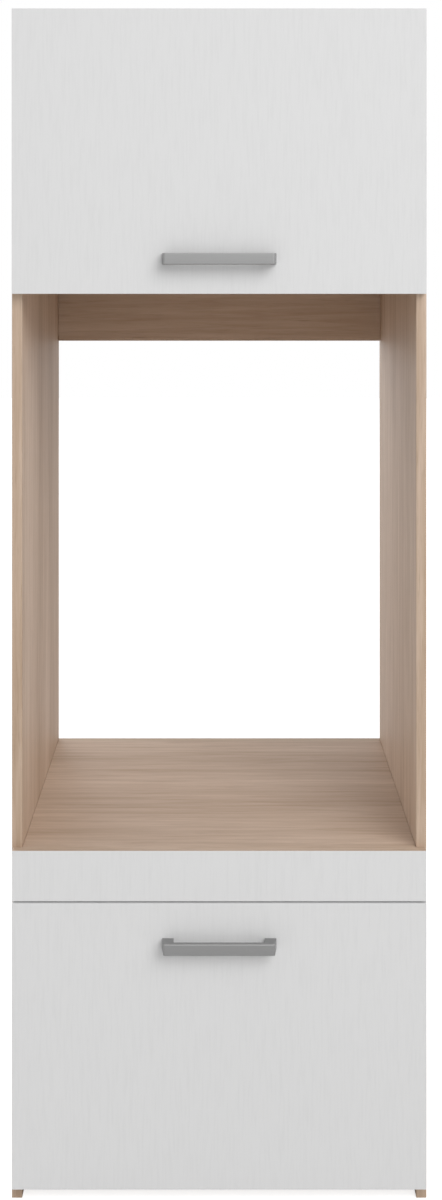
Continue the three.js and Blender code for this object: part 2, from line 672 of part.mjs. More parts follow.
// Cross-sections of the runner, as offsets from the side panel and heights from the runner's centre
function runnerSections() {
  const outerHalf = runnerHeight / 2;
  const outerInside = outerHalf - runnerSheet;
  const outerFace = seam + runnerSheet;
  const outerTip = outerFace + runnerFlangeReach;
  const outerLip = outerInside - runnerLipHeight;
  const middleHalf = outerInside - runnerGap;
  const middleBack = outerFace + runnerGap;
  const middleInside = middleHalf - runnerSheet;
  const middleTip = outerTip - runnerSheet - runnerGap;
  const middleLip = middleInside - runnerLipHeight;
  const innerHalf = middleInside - runnerGap;
  const innerNeck = middleLip - runnerGap;
  const innerLipFront = middleTip - runnerSheet - runnerGap;
  const innerFace = runnerSpace - seam;
  const neckInside = innerNeck - runnerSheet;
  const upperHalves = {
    cabinet: [
      [seam, outerHalf], [outerTip, outerHalf], [outerTip, outerLip], [outerTip - runnerSheet, outerLip],
      [outerTip - runnerSheet, outerInside], [outerFace, outerInside],
    ],
    middle: [
      [middleBack, middleHalf], [middleTip, middleHalf], [middleTip, middleLip],
      [middleTip - runnerSheet, middleLip], [middleTip - runnerSheet, middleInside],
      [middleBack + runnerSheet, middleInside],
    ],
    drawer: [
      [innerFace, innerNeck], [innerLipFront, innerNeck], [innerLipFront, innerHalf],
      [innerLipFront - runnerSheet, innerHalf], [innerLipFront - runnerSheet, neckInside],
      [innerFace - runnerSheet, neckInside],
    ],
  };
  return upperHalves;
}

// Runner member: its section is the upper half and its mirror image below
function runnerMember(upperHalf, side) {
  const points = [...upperHalf, ...upperHalf.map(([offset, height]) => [offset, -height]).reverse()];
  const shape = new THREE.Shape(points.map(([offset, height]) => (
    new THREE.Vector2(side * (halfInner - offset), runnerLevel + height))));
  const front = carcassFront + runnerSetback;
  return extrudedAlongY(shape, front, front + runnerLength);
}

// Drawer side with the groove for the bottom
function drawerSide(side) {
  const faces = [side * drawerHalfInner, side * drawerHalfWidth].sort((a, b) => a - b);
  const panel = block([faces[0], drawerSideFront, drawerBoxBase],
    [faces[1], drawerRear, drawerBoxBase + drawerSideHeight]);
  const grooveFaces = [drawerHalfInner - cutOverrun, drawerHalfInner + drawerGrooveDepth]
    .map((reach) => side * reach)
    .sort((a, b) => a - b);
  const groove = block([grooveFaces[0], drawerSideFront - cutOverrun, drawerBottomLevel],
    [grooveFaces[1], drawerRear + cutOverrun, drawerGrooveTop]);
  return cut(panel, groove);
}

// Angle bracket in the corner of a drawer side and the front
function drawerAngle(side) {
  const corner = { x: side * (drawerHalfInner - seam), y: frontInnerFace + seam };
  const base = drawerBoxBase + drawerSideHeight / 2 - angleHeight / 2;
  const towardsMiddle = -side;
  const shape = new THREE.Shape([
    [corner.x, corner.y],
    [corner.x + towardsMiddle * angleLeaf, corner.y],
    [corner.x + towardsMiddle * angleLeaf, corner.y + angleThickness],
    [corner.x + towardsMiddle * angleThickness, corner.y + angleThickness],
    [corner.x + towardsMiddle * angleThickness, corner.y + angleLeaf],
    [corner.x, corner.y + angleLeaf],
  ].map(([x, y]) => new THREE.Vector2(x, y)));
  return straightExtrusion(shape, angleHeight).translate(0, 0, base);
}

// Drawer with its front, handle, box, runners and buffers
function makeDrawer() {
  const drawer = new THREE.Group();
  const { panel, holes } = frontPanel(drawerFrontBase, drawerFrontHeight, drawerHandleLevel);
  addPiece(drawer, 'drawer_front', cut(panel, ...holes), white);
  addHandle(drawer, 'drawer', drawerHandleLevel);
  const sections = runnerSections();
  for (const [label, side] of sides) {
    addPiece(drawer, `drawer_side_${label}`, drawerSide(side), white);
    addPiece(drawer, `drawer_angle_${label}`, drawerAngle(side), zinc);
    for (const [member, section] of Object.entries(sections)) {
      addPiece(drawer, `runner_${member}_${label}`, runnerMember(section, side), zinc);
    }
    const bufferX = side * (halfWidth - boardThickness / 2);
    const bufferLevel = drawerFrontTop - drawerBufferDrop;
    addPiece(drawer, `drawer_buffer_${label}`, buffer(bufferX, bufferLevel), clearBuffer);
  }
  const innerReach = drawerHalfInner - seam;
  const backBase = drawerGrooveTop;
  addBoard(drawer, 'drawer_back', [-innerReach, drawerRear - drawerBoardThickness, backBase],
    [innerReach, drawerRear, backBase + drawerBackHeight], white);
  const bottomReach = drawerHalfInner + drawerGrooveDepth - runningGap;
  addBoard(drawer, 'drawer_bottom', [-bottomReach, drawerSideFront, drawerBottomLevel + seam],
    [bottomReach, drawerRear, drawerBottomLevel + seam + drawerBottomThickness], hardboard);
  return drawer;
}

// Bracket under the top board that is screwed through the back panel into the wall
function wallBracket(side) {
  const x = side * (halfInner - wallBracketFromSide);
  const top = underTopBoard;
  const rear = boardRear;
  const shape = new THREE.Shape([
    [rear, top],
    [rear - wallBracketLeaf, top],
    [rear - wallBracketLeaf, top - wallBracketThickness],
    [rear - wallBracketThickness, top - wallBracketThickness],
    [rear - wallBracketThickness, top - wallBracketLeaf],
    [rear, top - wallBracketLeaf],
  ].map(([y, z]) => new THREE.Vector2(y, z)));
  const angle = extrudedAlongX(shape, x - wallBracketWidth / 2, x + wallBracketWidth / 2);
  const screwHole = boardScrewHole(boardScrew, bracketScrewPlace(side));
  return cut(angle, wallScrewHole(side, rear - wallBracketThickness, rear), screwHole);
}

function makeWallBrackets() {
  const brackets = new THREE.Group();
  for (const [label, side] of sides) {
    addPiece(brackets, `wall_bracket_${label}`, wallBracket(side), zinc);
    const screw = boardScrewPiece(boardScrew, bracketScrewPlace(side));
    addPiece(brackets, `wall_bracket_screw_${label}`, screw, zinc);
  }
  return brackets;
}

const cabinet = new THREE.Group();
cabinet.add(makeCarcass(), makeFlap(), makeDrawer(), makeWallBrackets());

export default cabinet;
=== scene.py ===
# Tall laundry cabinet: fine pieces, finishes, studio and camera, in metres
import json
import math

import bpy
from mathutils import Matrix, Vector


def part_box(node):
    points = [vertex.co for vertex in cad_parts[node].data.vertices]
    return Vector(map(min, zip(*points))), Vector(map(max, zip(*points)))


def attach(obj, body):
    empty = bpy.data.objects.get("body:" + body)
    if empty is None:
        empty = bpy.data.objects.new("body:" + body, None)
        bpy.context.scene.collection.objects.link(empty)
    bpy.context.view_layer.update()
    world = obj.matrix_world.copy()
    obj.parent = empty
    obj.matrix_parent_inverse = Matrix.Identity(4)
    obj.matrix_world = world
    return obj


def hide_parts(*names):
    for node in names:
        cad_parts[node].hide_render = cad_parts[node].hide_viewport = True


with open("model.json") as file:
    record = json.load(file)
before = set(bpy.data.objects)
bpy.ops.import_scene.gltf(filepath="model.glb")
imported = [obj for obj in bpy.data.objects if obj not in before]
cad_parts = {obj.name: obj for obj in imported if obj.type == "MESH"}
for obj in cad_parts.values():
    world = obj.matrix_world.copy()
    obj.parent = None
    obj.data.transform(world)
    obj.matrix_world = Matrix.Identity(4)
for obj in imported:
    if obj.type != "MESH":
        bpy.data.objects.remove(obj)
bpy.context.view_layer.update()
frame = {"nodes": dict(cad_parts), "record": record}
bodies = frame["record"]["behaviour"]["bodies"]
bodyOf = {node: body for body, nodes in bodies.items() for node in nodes}
slotOf = {row["node"]: row["material_slot"] for row in frame["record"]["subparts"]}
print("cabinet frame loaded,", len(frame["nodes"]), "nodes")


def linearColour(hexText):
    # the hex values are sRGB, Blender works in linear light
    parts = [int(hexText[i:i + 2], 16) / 255 for i in (1, 3, 5)]
    return [p / 12.92 if p <= 0.04045 else ((p + 0.055) / 1.055) ** 2.4 for p in parts] + [1]


def addNode(tree, kind, values=None, **settings):
    # a value that is a socket is linked, anything else is set
    node = tree.nodes.new(kind)
    for name, setting in settings.items():
        setattr(node, name, setting)
    for name, value in (values or {}).items():
        if isinstance(value, bpy.types.NodeSocket):
            tree.links.new(value, node.inputs[name])
        else:
            node.inputs[name].default_value = value
    return node


def newFinish(name):
    material = bpy.data.materials.new(name)
    material.use_nodes = True
    material.node_tree.nodes.clear()
    return material, material.node_tree


# finishes: a pair of roughness values is for the smoothest and the roughest spots, relief is
# what the bump node gets, and a draw below 1 stretches the pattern along the board or bar
oakLook = {
    "light": "#D0B9A5",
    "dark": "#B1977F",
    "pore": "#8E755F",
    "driftsPerMetre": 9,  # slow changes of tone
    "bandWidth": 0.011,  # one growth band
    "bandDraw": 0.05,
    "poreWidth": 0.0009,
    "poreDraw": 0.02,
    "poreTone": 0.45,  # how far a pore darkens the wood
    "roughness": (0.46, 0.62),
    "relief": {"Strength": 0.35, "Distance": 0.00012},
}


def makeOakLaminate(name, along):
    # oak-decor melamine on chipboard, pressed with a wood-pore plate: matt, with soft growth bands
    # and fine dark pores that run along the board
    material, tree = newFinish(name)
    place = addNode(tree, "ShaderNodeTexCoord").outputs["Object"]
    bandDraw = [oakLook["bandDraw"] if axis == along else 1 for axis in range(3)]
    bandPlace = addNode(tree, "ShaderNodeMapping", {
        "Vector": place, "Scale": bandDraw}).outputs["Vector"]
    drift = addNode(tree, "ShaderNodeTexNoise", {
        "Vector": bandPlace, "Scale": oakLook["driftsPerMetre"], "Detail": 3, "Roughness": 0.55})
    bands = addNode(tree, "ShaderNodeTexNoise", {
        "Vector": bandPlace, "Scale": 1 / oakLook["bandWidth"], "Detail": 4, "Roughness": 0.6,
        "Distortion": 0.6})
    poreDraw = [oakLook["poreDraw"] if axis == along else 1 for axis in range(3)]
    porePlace = addNode(tree, "ShaderNodeMapping", {
        "Vector": place, "Scale": poreDraw}).outputs["Vector"]
    pores = addNode(tree, "ShaderNodeTexNoise", {
        "Vector": porePlace, "Scale": 1 / oakLook["poreWidth"], "Detail": 2, "Roughness": 0.5})
    poreShare = addNode(tree, "ShaderNodeMapRange", {
        "Value": pores.outputs["Fac"], "From Min": 0.6, "From Max": 0.72,
        "To Max": oakLook["poreTone"]}).outputs["Result"]
    toneSum = addNode(tree, "ShaderNodeMath", {
        0: drift.outputs["Fac"], 1: bands.outputs["Fac"]}, operation="ADD").outputs[0]
    tone = addNode(tree, "ShaderNodeMapRange", {
        "Value": toneSum, "From Min": 0.72, "From Max": 1.3}).outputs["Result"]
    wood = addNode(tree, "ShaderNodeMix", {
        0: tone, 6: linearColour(oakLook["light"]), 7: linearColour(oakLook["dark"])},
        data_type="RGBA").outputs[2]
    colour = addNode(tree, "ShaderNodeMix", {
        0: poreShare, 6: wood, 7: linearColour(oakLook["pore"])}, data_type="RGBA").outputs[2]
    smoothest, roughest = oakLook["roughness"]
    roughness = addNode(tree, "ShaderNodeMapRange", {
        "Value": bands.outputs["Fac"], "To Min": smoothest, "To Max": roughest}).outputs["Result"]
    height = addNode(tree, "ShaderNodeMath", {
        0: bands.outputs["Fac"], 1: poreShare}, operation="SUBTRACT").outputs[0]
    bump = addNode(tree, "ShaderNodeBump", {
        "Height": height, **oakLook["relief"]}).outputs["Normal"]
    shader = addNode(tree, "ShaderNodeBsdfPrincipled", {
        "Base Color": colour, "Roughness": roughness, "Normal": bump, "IOR": 1.5})
    addNode(tree, "ShaderNodeOutputMaterial", {"Surface": shader.outputs[0]})
    return material


frontLook = {
    "white": "#DFDFDF",
    "streak": "#DCDCDC",
    "streakWidth": 0.004,  # coarser than the embossed grain of the real foil, so that it shows
    "streakLength": 0.055,
    "roughness": (0.52, 0.6),
    "gloss": 0.35,  # below the usual 0.5, because the foil is matt coated
    "relief": {"Strength": 0.1, "Distance": 0.00006},
}


def makeFrontFoil():
    # satin white foil pressed over the fronts: even and soft, with faint upright grain streaks
    material, tree = newFinish("white_front_foil")
    place = addNode(tree, "ShaderNodeTexCoord").outputs["Object"]
    slim = frontLook["streakWidth"] / frontLook["streakLength"]
    grain = addNode(tree, "ShaderNodeMapping", {
        "Vector": place, "Scale": [1, 1, slim]}).outputs["Vector"]
    streaks = addNode(tree, "ShaderNodeTexNoise", {
        "Vector": grain, "Scale": 1 / frontLook["streakWidth"], "Detail": 3, "Roughness": 0.6})
    share = addNode(tree, "ShaderNodeMapRange", {
        "Value": streaks.outputs["Fac"], "From Min": 0.45, "From Max": 0.7}).outputs["Result"]
    colour = addNode(tree, "ShaderNodeMix", {
        0: share, 6: linearColour(frontLook["white"]), 7: linearColour(frontLook["streak"])},
        data_type="RGBA").outputs[2]
    smoothest, roughest = frontLook["roughness"]
    roughness = addNode(tree, "ShaderNodeMapRange", {
        "Value": share, "To Min": smoothest, "To Max": roughest}).outputs["Result"]
    bump = addNode(tree, "ShaderNodeBump", {
        "Height": share, **frontLook["relief"]}).outputs["Normal"]
    shader = addNode(tree, "ShaderNodeBsdfPrincipled", {
        "Base Color": colour, "Roughness": roughness, "Normal": bump, "IOR": 1.5,
        "Specular IOR Level": frontLook["gloss"]})
    addNode(tree, "ShaderNodeOutputMaterial", {"Surface": shader.outputs[0]})
    return material


boardLook = {
    "white": "#E4E3DF",
    "shade": "#DAD9D4",
    "cloudsPerMetre": 7,
    "grit": 0.0016,  # one pearl, coarser than the real ones, so that it shows
    "roughness": (0.42, 0.6),
    "relief": {"Strength": 0.3, "Distance": 0.00008},
}


def makeWhiteBoard():
    # white melamine board of the drawer box: pearl grained, so it scatters light a little
    material, tree = newFinish("white_melamine")
    place = addNode(tree, "ShaderNodeTexCoord").outputs["Object"]
    pearls = addNode(tree, "ShaderNodeTexNoise", {
        "Vector": place, "Scale": 1 / boardLook["grit"], "Detail": 2,
        "Roughness": 0.5}).outputs["Fac"]
    clouds = addNode(tree, "ShaderNodeTexNoise", {
        "Vector": place, "Scale": boardLook["cloudsPerMetre"], "Detail": 2}).outputs["Fac"]
    colour = addNode(tree, "ShaderNodeMix", {
        0: clouds, 6: linearColour(boardLook["white"]), 7: linearColour(boardLook["shade"])},
        data_type="RGBA").outputs[2]
    smoothest, roughest = boardLook["roughness"]
    roughness = addNode(tree, "ShaderNodeMapRange", {
        "Value": pearls, "To Min": smoothest, "To Max": roughest}).outputs["Result"]
    bump = addNode(tree, "ShaderNodeBump", {
        "Height": pearls, **boardLook["relief"]}).outputs["Normal"]
    shader = addNode(tree, "ShaderNodeBsdfPrincipled", {
        "Base Color": colour, "Roughness": roughness, "Normal": bump, "IOR": 1.5})
    addNode(tree, "ShaderNodeOutputMaterial", {"Surface": shader.outputs[0]})
    return material


backLook = {
    "lacquer": "#E2DFD8",
    "fibre": "#B99A73",
    "fibreDark": "#9A7A55",
    "fibreWidth": 0.0022,
    "bareRoughness": 0.82,
    "lacquerRoughness": 0.5,
    "relief": {"Strength": 0.3, "Distance": 0.00015},
}


def makeHardboard():
    # thin hardboard: lacquered pale on the room side of a back panel and on the upper side of the
    # drawer bottom, bare pressed wood fibre on the other side
    material, tree = newFinish("hardboard")
    coordinates = addNode(tree, "ShaderNodeTexCoord").outputs
    fibres = addNode(tree, "ShaderNodeTexNoise", {
        "Vector": coordinates["Object"], "Scale": 1 / backLook["fibreWidth"], "Detail": 5,
        "Roughness": 0.75, "Distortion": 1.5}).outputs["Fac"]
    flecks = addNode(tree, "ShaderNodeMapRange", {
        "Value": fibres, "From Min": 0.35, "From Max": 0.65}).outputs["Result"]
    bare = addNode(tree, "ShaderNodeMix", {
        0: flecks, 6: linearColour(backLook["fibre"]), 7: linearColour(backLook["fibreDark"])},
        data_type="RGBA").outputs[2]
    ways = addNode(tree, "ShaderNodeSeparateXYZ", {0: coordinates["Normal"]}).outputs
    forward = addNode(tree, "ShaderNodeMath", {
        0: ways["Y"], 1: -1.0}, operation="MULTIPLY").outputs[0]
    seenSide = addNode(tree, "ShaderNodeMath", {
        0: forward, 1: ways["Z"]}, operation="MAXIMUM").outputs[0]
    lacquered = addNode(tree, "ShaderNodeMapRange", {
        "Value": seenSide, "From Min": 0.4, "From Max": 0.6}).outputs["Result"]
    colour = addNode(tree, "ShaderNodeMix", {
        0: lacquered, 6: bare, 7: linearColour(backLook["lacquer"])}, data_type="RGBA").outputs[2]
    roughness = addNode(tree, "ShaderNodeMapRange", {
        "Value": lacquered, "To Min": backLook["bareRoughness"],
        "To Max": backLook["lacquerRoughness"]}).outputs["Result"]
    bump = addNode(tree, "ShaderNodeBump", {
        "Height": flecks, **backLook["relief"]}).outputs["Normal"]
    shader = addNode(tree, "ShaderNodeBsdfPrincipled", {
        "Base Color": colour, "Roughness": roughness, "Normal": bump, "IOR": 1.5})
    addNode(tree, "ShaderNodeOutputMaterial", {"Surface": shader.outputs[0]})
    return material


handleLook = {
    "metal": "#A1A1A1",
    "shade": "#959595",
    "brushWidth": 0.00035,  # coarser than real brush lines, so that they show
    "brushDraw": 0.012,
    "roughness": (0.36, 0.5),
    "relief": {"Strength": 0.3, "Distance": 0.00003},
}


def makeBrushedHandle():
    # aluminium bar, brushed along its length and clear anodised: soft grey with fine long lines
    material, tree = newFinish("brushed_aluminium")
    place = addNode(tree, "ShaderNodeTexCoord").outputs["Object"]
    along = addNode(tree, "ShaderNodeMapping", {
        "Vector": place, "Scale": [handleLook["brushDraw"], 1, 1]}).outputs["Vector"]
    lines = addNode(tree, "ShaderNodeTexNoise", {
        "Vector": along, "Scale": 1 / handleLook["brushWidth"], "Detail": 3,
        "Roughness": 0.6}).outputs["Fac"]
    colour = addNode(tree, "ShaderNodeMix", {
        0: lines, 6: linearColour(handleLook["metal"]), 7: linearColour(handleLook["shade"])},
        data_type="RGBA").outputs[2]
    smoothest, roughest = handleLook["roughness"]
    roughness = addNode(tree, "ShaderNodeMapRange", {
        "Value": lines, "To Min": smoothest, "To Max": roughest}).outputs["Result"]
    bump = addNode(tree, "ShaderNodeBump", {
        "Height": lines, **handleLook["relief"]}).outputs["Normal"]
    shader = addNode(tree, "ShaderNodeBsdfPrincipled", {
        "Base Color": colour, "Metallic": 1, "Roughness": roughness, "Normal": bump})
    addNode(tree, "ShaderNodeOutputMaterial", {"Surface": shader.outputs[0]})
    return material


platingLook = {
    "nickel": {"bright": "#CFCDC8", "dull": "#C3C0BA", "cloudWidth": 0.009,
               "roughness": (0.24, 0.3)},
    "zinc": {"bright": "#B6B9BB", "dull": "#A2A6A9", "cloudWidth": 0.005,
             "roughness": (0.32, 0.44)},
    "grit": 0.0006,
    "relief": {"Strength": 0.12, "Distance": 0.00003},
}


def makePlatedSteel(name, look):
    # plated sheet steel: even and soft, with faint clouds from the bath and the very fine texture
    # that tumbling leaves
    material, tree = newFinish(name)
    place = addNode(tree, "ShaderNodeTexCoord").outputs["Object"]
    clouds = addNode(tree, "ShaderNodeTexNoise", {
        "Vector": place, "Scale": 1 / look["cloudWidth"], "Detail": 3,
        "Roughness": 0.5}).outputs["Fac"]
    tumbled = addNode(tree, "ShaderNodeTexNoise", {
        "Vector": place, "Scale": 1 / platingLook["grit"], "Detail": 2,
        "Roughness": 0.5}).outputs["Fac"]
    colour = addNode(tree, "ShaderNodeMix", {
        0: clouds, 6: linearColour(look["bright"]), 7: linearColour(look["dull"])},
        data_type="RGBA").outputs[2]
    smoothest, roughest = look["roughness"]
    roughness = addNode(tree, "ShaderNodeMapRange", {
        "Value": clouds, "From Min": 0.3, "From Max": 0.7,
        "To Min": smoothest, "To Max": roughest}).outputs["Result"]
    bump = addNode(tree, "ShaderNodeBump", {
        "Height": tumbled, **platingLook["relief"]}).outputs["Normal"]
    shader = addNode(tree, "ShaderNodeBsdfPrincipled", {
        "Base Color": colour, "Metallic": 1, "Roughness": roughness, "Normal": bump})
    addNode(tree, "ShaderNodeOutputMaterial", {"Surface": shader.outputs[0]})
    return material


bufferLook = {
    "clear": "#DADDDD",
    "milky": "#C9CDCD",
    "hazesPerMetre": 900,
    "roughness": (0.15, 0.35),
    "transmission": 0.35,
    "relief": {"Strength": 0.15, "Distance": 0.00003},
}


def makeBufferPlastic():
    # soft clear polyurethane dome: glossy, slightly milky, with a little mould texture
    material, tree = newFinish("clear_polyurethane")
    place = addNode(tree, "ShaderNodeTexCoord").outputs["Object"]
    haze = addNode(tree, "ShaderNodeTexNoise", {
        "Vector": place, "Scale": bufferLook["hazesPerMetre"], "Detail": 2}).outputs["Fac"]
    colour = addNode(tree, "ShaderNodeMix", {
        0: haze, 6: linearColour(bufferLook["clear"]), 7: linearColour(bufferLook["milky"])},
        data_type="RGBA").outputs[2]
    smoothest, roughest = bufferLook["roughness"]
    roughness = addNode(tree, "ShaderNodeMapRange", {
        "Value": haze, "To Min": smoothest, "To Max": roughest}).outputs["Result"]
    bump = addNode(tree, "ShaderNodeBump", {
        "Height": haze, **bufferLook["relief"]}).outputs["Normal"]
    shader = addNode(tree, "ShaderNodeBsdfPrincipled", {
        "Base Color": colour, "Roughness": roughness, "Normal": bump, "IOR": 1.5,
        "Transmission Weight": bufferLook["transmission"]})
    addNode(tree, "ShaderNodeOutputMaterial", {"Surface": shader.outputs[0]})
    return material


oakUpright = makeOakLaminate("oak_laminate_upright", 2)  # along Z
oakAcross = makeOakLaminate("oak_laminate_across", 0)  # along X
finishes = {
    "white_front": makeFrontFoil(),
    "white_board": makeWhiteBoard(),
    "back_panel": makeHardboard(),
    "handle": makeBrushedHandle(),
    "nickel_steel": makePlatedSteel("nickel_plated_steel", platingLook["nickel"]),
    "zinc_steel": makePlatedSteel("zinc_plated_steel", platingLook["zinc"]),
    "buffer": makeBufferPlastic(),
}
print("finishes made")


# fine copies of the pieces of the CAD model
meshLook = {
    "mergeWithin": 0.00001,
    "flatWithin": 0.3,  # degrees, as the next three are
    "cornerAbove": 60,
    "pieceSmooth": 40,
    "fittingSmooth": 35,
    "squareOn": 0.9,  # share of a face's normal along an axis, past which it faces that way
}
edgeLook = {
    "oak_board": {"arris": 0.0006, "segments": 2},
    "white_board": {"arris": 0.0006, "segments": 2},
    "back_panel": {"arris": 0.0003, "segments": 1},
    "white_front": {"arris": 0, "segments": 0},
    "handle": {"arris": 0, "segments": 0},
    "nickel_steel": {"arris": 0.00025, "segments": 2},
    "zinc_steel": {"arris": 0.0002, "segments": 1},
    "buffer": {"arris": 0.0009, "segments": 3},
}


def pickOnly(piece):
    bpy.ops.object.select_all(action="DESELECT")
    piece.select_set(True)
    bpy.context.view_layer.objects.active = piece


def smoothOff(piece, angle):
    # flat faces stay flat and only the eased edges and curves shade smoothly
    pickOnly(piece)
    bpy.ops.object.shade_smooth_by_angle(angle=math.radians(angle))
    modifier = piece.modifiers.new("flat faces", "WEIGHTED_NORMAL")
    modifier.keep_sharp = True
    bpy.ops.object.modifier_apply(modifier=modifier.name)


def makeFineCopy(node):
    # one closed mesh with eased edges and smooth curves, in the place of the faceted one
    slot = slotOf[node]
    look = edgeLook[slot]
    piece = bpy.data.objects.new(f"{node}_fine", frame["nodes"][node].data.copy())
    bpy.context.scene.collection.objects.link(piece)
    pickOnly(piece)
    bpy.ops.object.mode_set(mode="EDIT")
    bpy.ops.mesh.select_mode(type="EDGE")
    bpy.ops.mesh.select_all(action="SELECT")
    bpy.ops.mesh.remove_doubles(threshold=meshLook["mergeWithin"])
    bpy.ops.mesh.dissolve_limited(angle_limit=math.radians(meshLook["flatWithin"]))
    if look["arris"] > 0:
        bpy.ops.mesh.select_all(action="DESELECT")
        bpy.ops.mesh.edges_select_sharp(sharpness=math.radians(meshLook["cornerAbove"]))
        bpy.ops.mesh.bevel(offset=look["arris"], segments=look["segments"], clamp_overlap=True)
    bpy.ops.object.mode_set(mode="OBJECT")
    piece.data.materials.clear()
    if slot == "oak_board":
        upright = node.startswith("side_panel")
        piece.data.materials.append(oakUpright if upright else oakAcross)
    else:
        piece.data.materials.append(finishes[slot])
    if node == "fascia":
        # its upward faces take the oak decor of the shelf behind it
        piece.data.materials.append(oakAcross)
        for face in piece.data.polygons:
            if face.normal.z > meshLook["squareOn"]:
                face.material_index = 1
    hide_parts(node)
    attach(piece, bodyOf[node])
    return piece


pieces = {node: makeFineCopy(node) for node in frame["nodes"]}
print("fine copies made,", len(pieces))


# small fittings, each modelled once on the Z axis with its face at the origin
def turnUp(name, profile, sides):
    # a closed turned solid from radii and heights, drawn out ring by ring from its lowest face
    radius, height = profile[0]
    bpy.ops.object.select_all(action="DESELECT")
    bpy.ops.mesh.primitive_circle_add(
        vertices=sides, radius=radius, fill_type="NGON", location=(0, 0, height))
    solid = bpy.context.object
    solid.name = name
    bpy.ops.object.transform_apply(location=True, rotation=False, scale=False)
    bpy.ops.object.mode_set(mode="EDIT")
    bpy.ops.mesh.select_all(action="SELECT")
    for nextRadius, nextHeight in profile[1:]:
        bpy.ops.mesh.extrude_region_move(
            TRANSFORM_OT_translate={"value": (0, 0, nextHeight - height)})
        growth = nextRadius / radius
        bpy.ops.transform.resize(value=(growth, growth, 1), center_override=(0, 0, nextHeight))
        radius, height = nextRadius, nextHeight
    bpy.ops.mesh.select_all(action="SELECT")
    bpy.ops.mesh.normals_make_consistent(inside=False)
    bpy.ops.object.mode_set(mode="OBJECT")
    return solid


def placedCopy(template, name, at, facing, turn=0, size=1):
    # the copy's place, direction and size are in its mesh
    copy = bpy.data.objects.new(name, template.data.copy())
    bpy.context.scene.collection.objects.link(copy)
    direction = Vector((0, 0, 1)).rotation_difference(Vector(facing)).to_matrix().to_4x4()
    turned = Matrix.Rotation(math.radians(turn), 4, "Z") @ Matrix.Scale(size, 4)
    copy.data.transform(Matrix.Translation(at) @ direction @ turned)
    return copy


def combine(piece, tools, operation):
    # one boolean with all the tools, which don't touch each other and are used up
    pickOnly(tools[0])
    for tool in tools:
        tool.select_set(True)
    if len(tools) > 1:
        bpy.ops.object.join()
    pickOnly(piece)
    modifier = piece.modifiers.new("combine", "BOOLEAN")
    modifier.operation = operation
    modifier.solver = "EXACT"
    modifier.object = tools[0]
    bpy.ops.object.modifier_apply(modifier=modifier.name)
    bpy.data.objects.remove(tools[0])


def finishFitting(piece, slot, body):
    smoothOff(piece, meshLook["fittingSmooth"])
    piece.data.materials.clear()
    piece.data.materials.append(finishes[slot])
    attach(piece, body)


crossLook = {
    "span": 0.0046,
    "width": 0.0011,
    "depth": 0.0015,
    "clear": 0.0005,  # how far the form stands out of the head
    "footSpan": 0.4,  # share of the span that is left at the foot
    "footWidth": 0.8,
}


def makeCross():
    # the form of a cross recess: each wing is long at the face of the head and short at its foot
    middle = (crossLook["clear"] - crossLook["depth"]) / 2
    bpy.ops.object.select_all(action="DESELECT")
    bpy.ops.mesh.primitive_cube_add(size=1, location=(0, 0, middle))
    solid = bpy.context.object
    solid.scale = (crossLook["span"], crossLook["width"], crossLook["depth"] + crossLook["clear"])
    bpy.ops.object.transform_apply(location=True, rotation=True, scale=True)
    for face in solid.data.polygons:
        face.select = face.normal.z < -meshLook["squareOn"]
    bpy.ops.object.mode_set(mode="EDIT")
    bpy.ops.mesh.select_mode(type="FACE")
    bpy.ops.transform.resize(
        value=(crossLook["footSpan"], crossLook["footWidth"], 1), center_override=(0, 0, 0))
    bpy.ops.object.mode_set(mode="OBJECT")
    combine(solid, [placedCopy(solid, "wing", (0, 0, 0), (0, 0, 1), turn=90)], "UNION")
    return solid


crossModel = makeCross()


def carveCross(piece, at, facing, turn=0, size=1):
    combine(piece, [placedCopy(crossModel, "tool", at, facing, turn, size)], "DIFFERENCE")


# chipboard screw with a flat head, sunk flush
screwLook = {
    "headRadius": 0.0036,
    "headDepth": 0.0005,
    "rimDrop": 0.00012,  # eased edge of the head
    "rimInset": 0.0002,
    "rootRadius": 0.0019,
    "rootEnd": 0.0018,
    "shankStart": 0.0022,
    "shankRadius": 0.0015,
    "length": 0.012,
    "pointLength": 0.003,
    "pointRadius": 0.0003,
    "gap": 0.00018,  # between screw and hole
    "gapUnder": 0.00005,
    "holeDepth": 0.0032,
    "holeAbove": 0.0006,  # how far the tool for the hole stands out
    "sides": 24,
    "turnStart": 11,  # the recesses point all ways, as a screwdriver leaves them
    "turnStep": 37,
}
screwModel = turnUp("screw_model", [
    (screwLook["pointRadius"], -screwLook["length"]),
    (screwLook["shankRadius"], -screwLook["length"] + screwLook["pointLength"]),
    (screwLook["shankRadius"], -screwLook["shankStart"]),
    (screwLook["rootRadius"], -screwLook["rootEnd"]),
    (screwLook["rootRadius"], -screwLook["headDepth"]),
    (screwLook["headRadius"], -screwLook["headDepth"]),
    (screwLook["headRadius"], -screwLook["rimDrop"]),
    (screwLook["headRadius"] - screwLook["rimInset"], 0)], screwLook["sides"])
carveCross(screwModel, (0, 0, 0), (0, 0, 1))
rootBore = screwLook["rootRadius"] + screwLook["gap"]
headBore = screwLook["headRadius"] + screwLook["gap"]
boreStep = -screwLook["headDepth"] - screwLook["gapUnder"]
screwHole = turnUp("screw_hole", [
    (rootBore, -screwLook["holeDepth"]), (rootBore, boreStep),
    (headBore, boreStep), (headBore, screwLook["holeAbove"])], screwLook["sides"])


def addScrews(node, spots, facing, first=1):
    combine(pieces[node], [placedCopy(screwHole, "tool", at, facing) for at in spots], "DIFFERENCE")
    slot = "nickel_steel" if slotOf[node] == "nickel_steel" else "zinc_steel"
    for number, at in enumerate(spots, first):
        turn = screwLook["turnStep"] * number + screwLook["turnStart"]
        screw = placedCopy(screwModel, f"{node}_fixing_{number}", at, facing, turn)
        finishFitting(screw, slot, bodyOf[node])


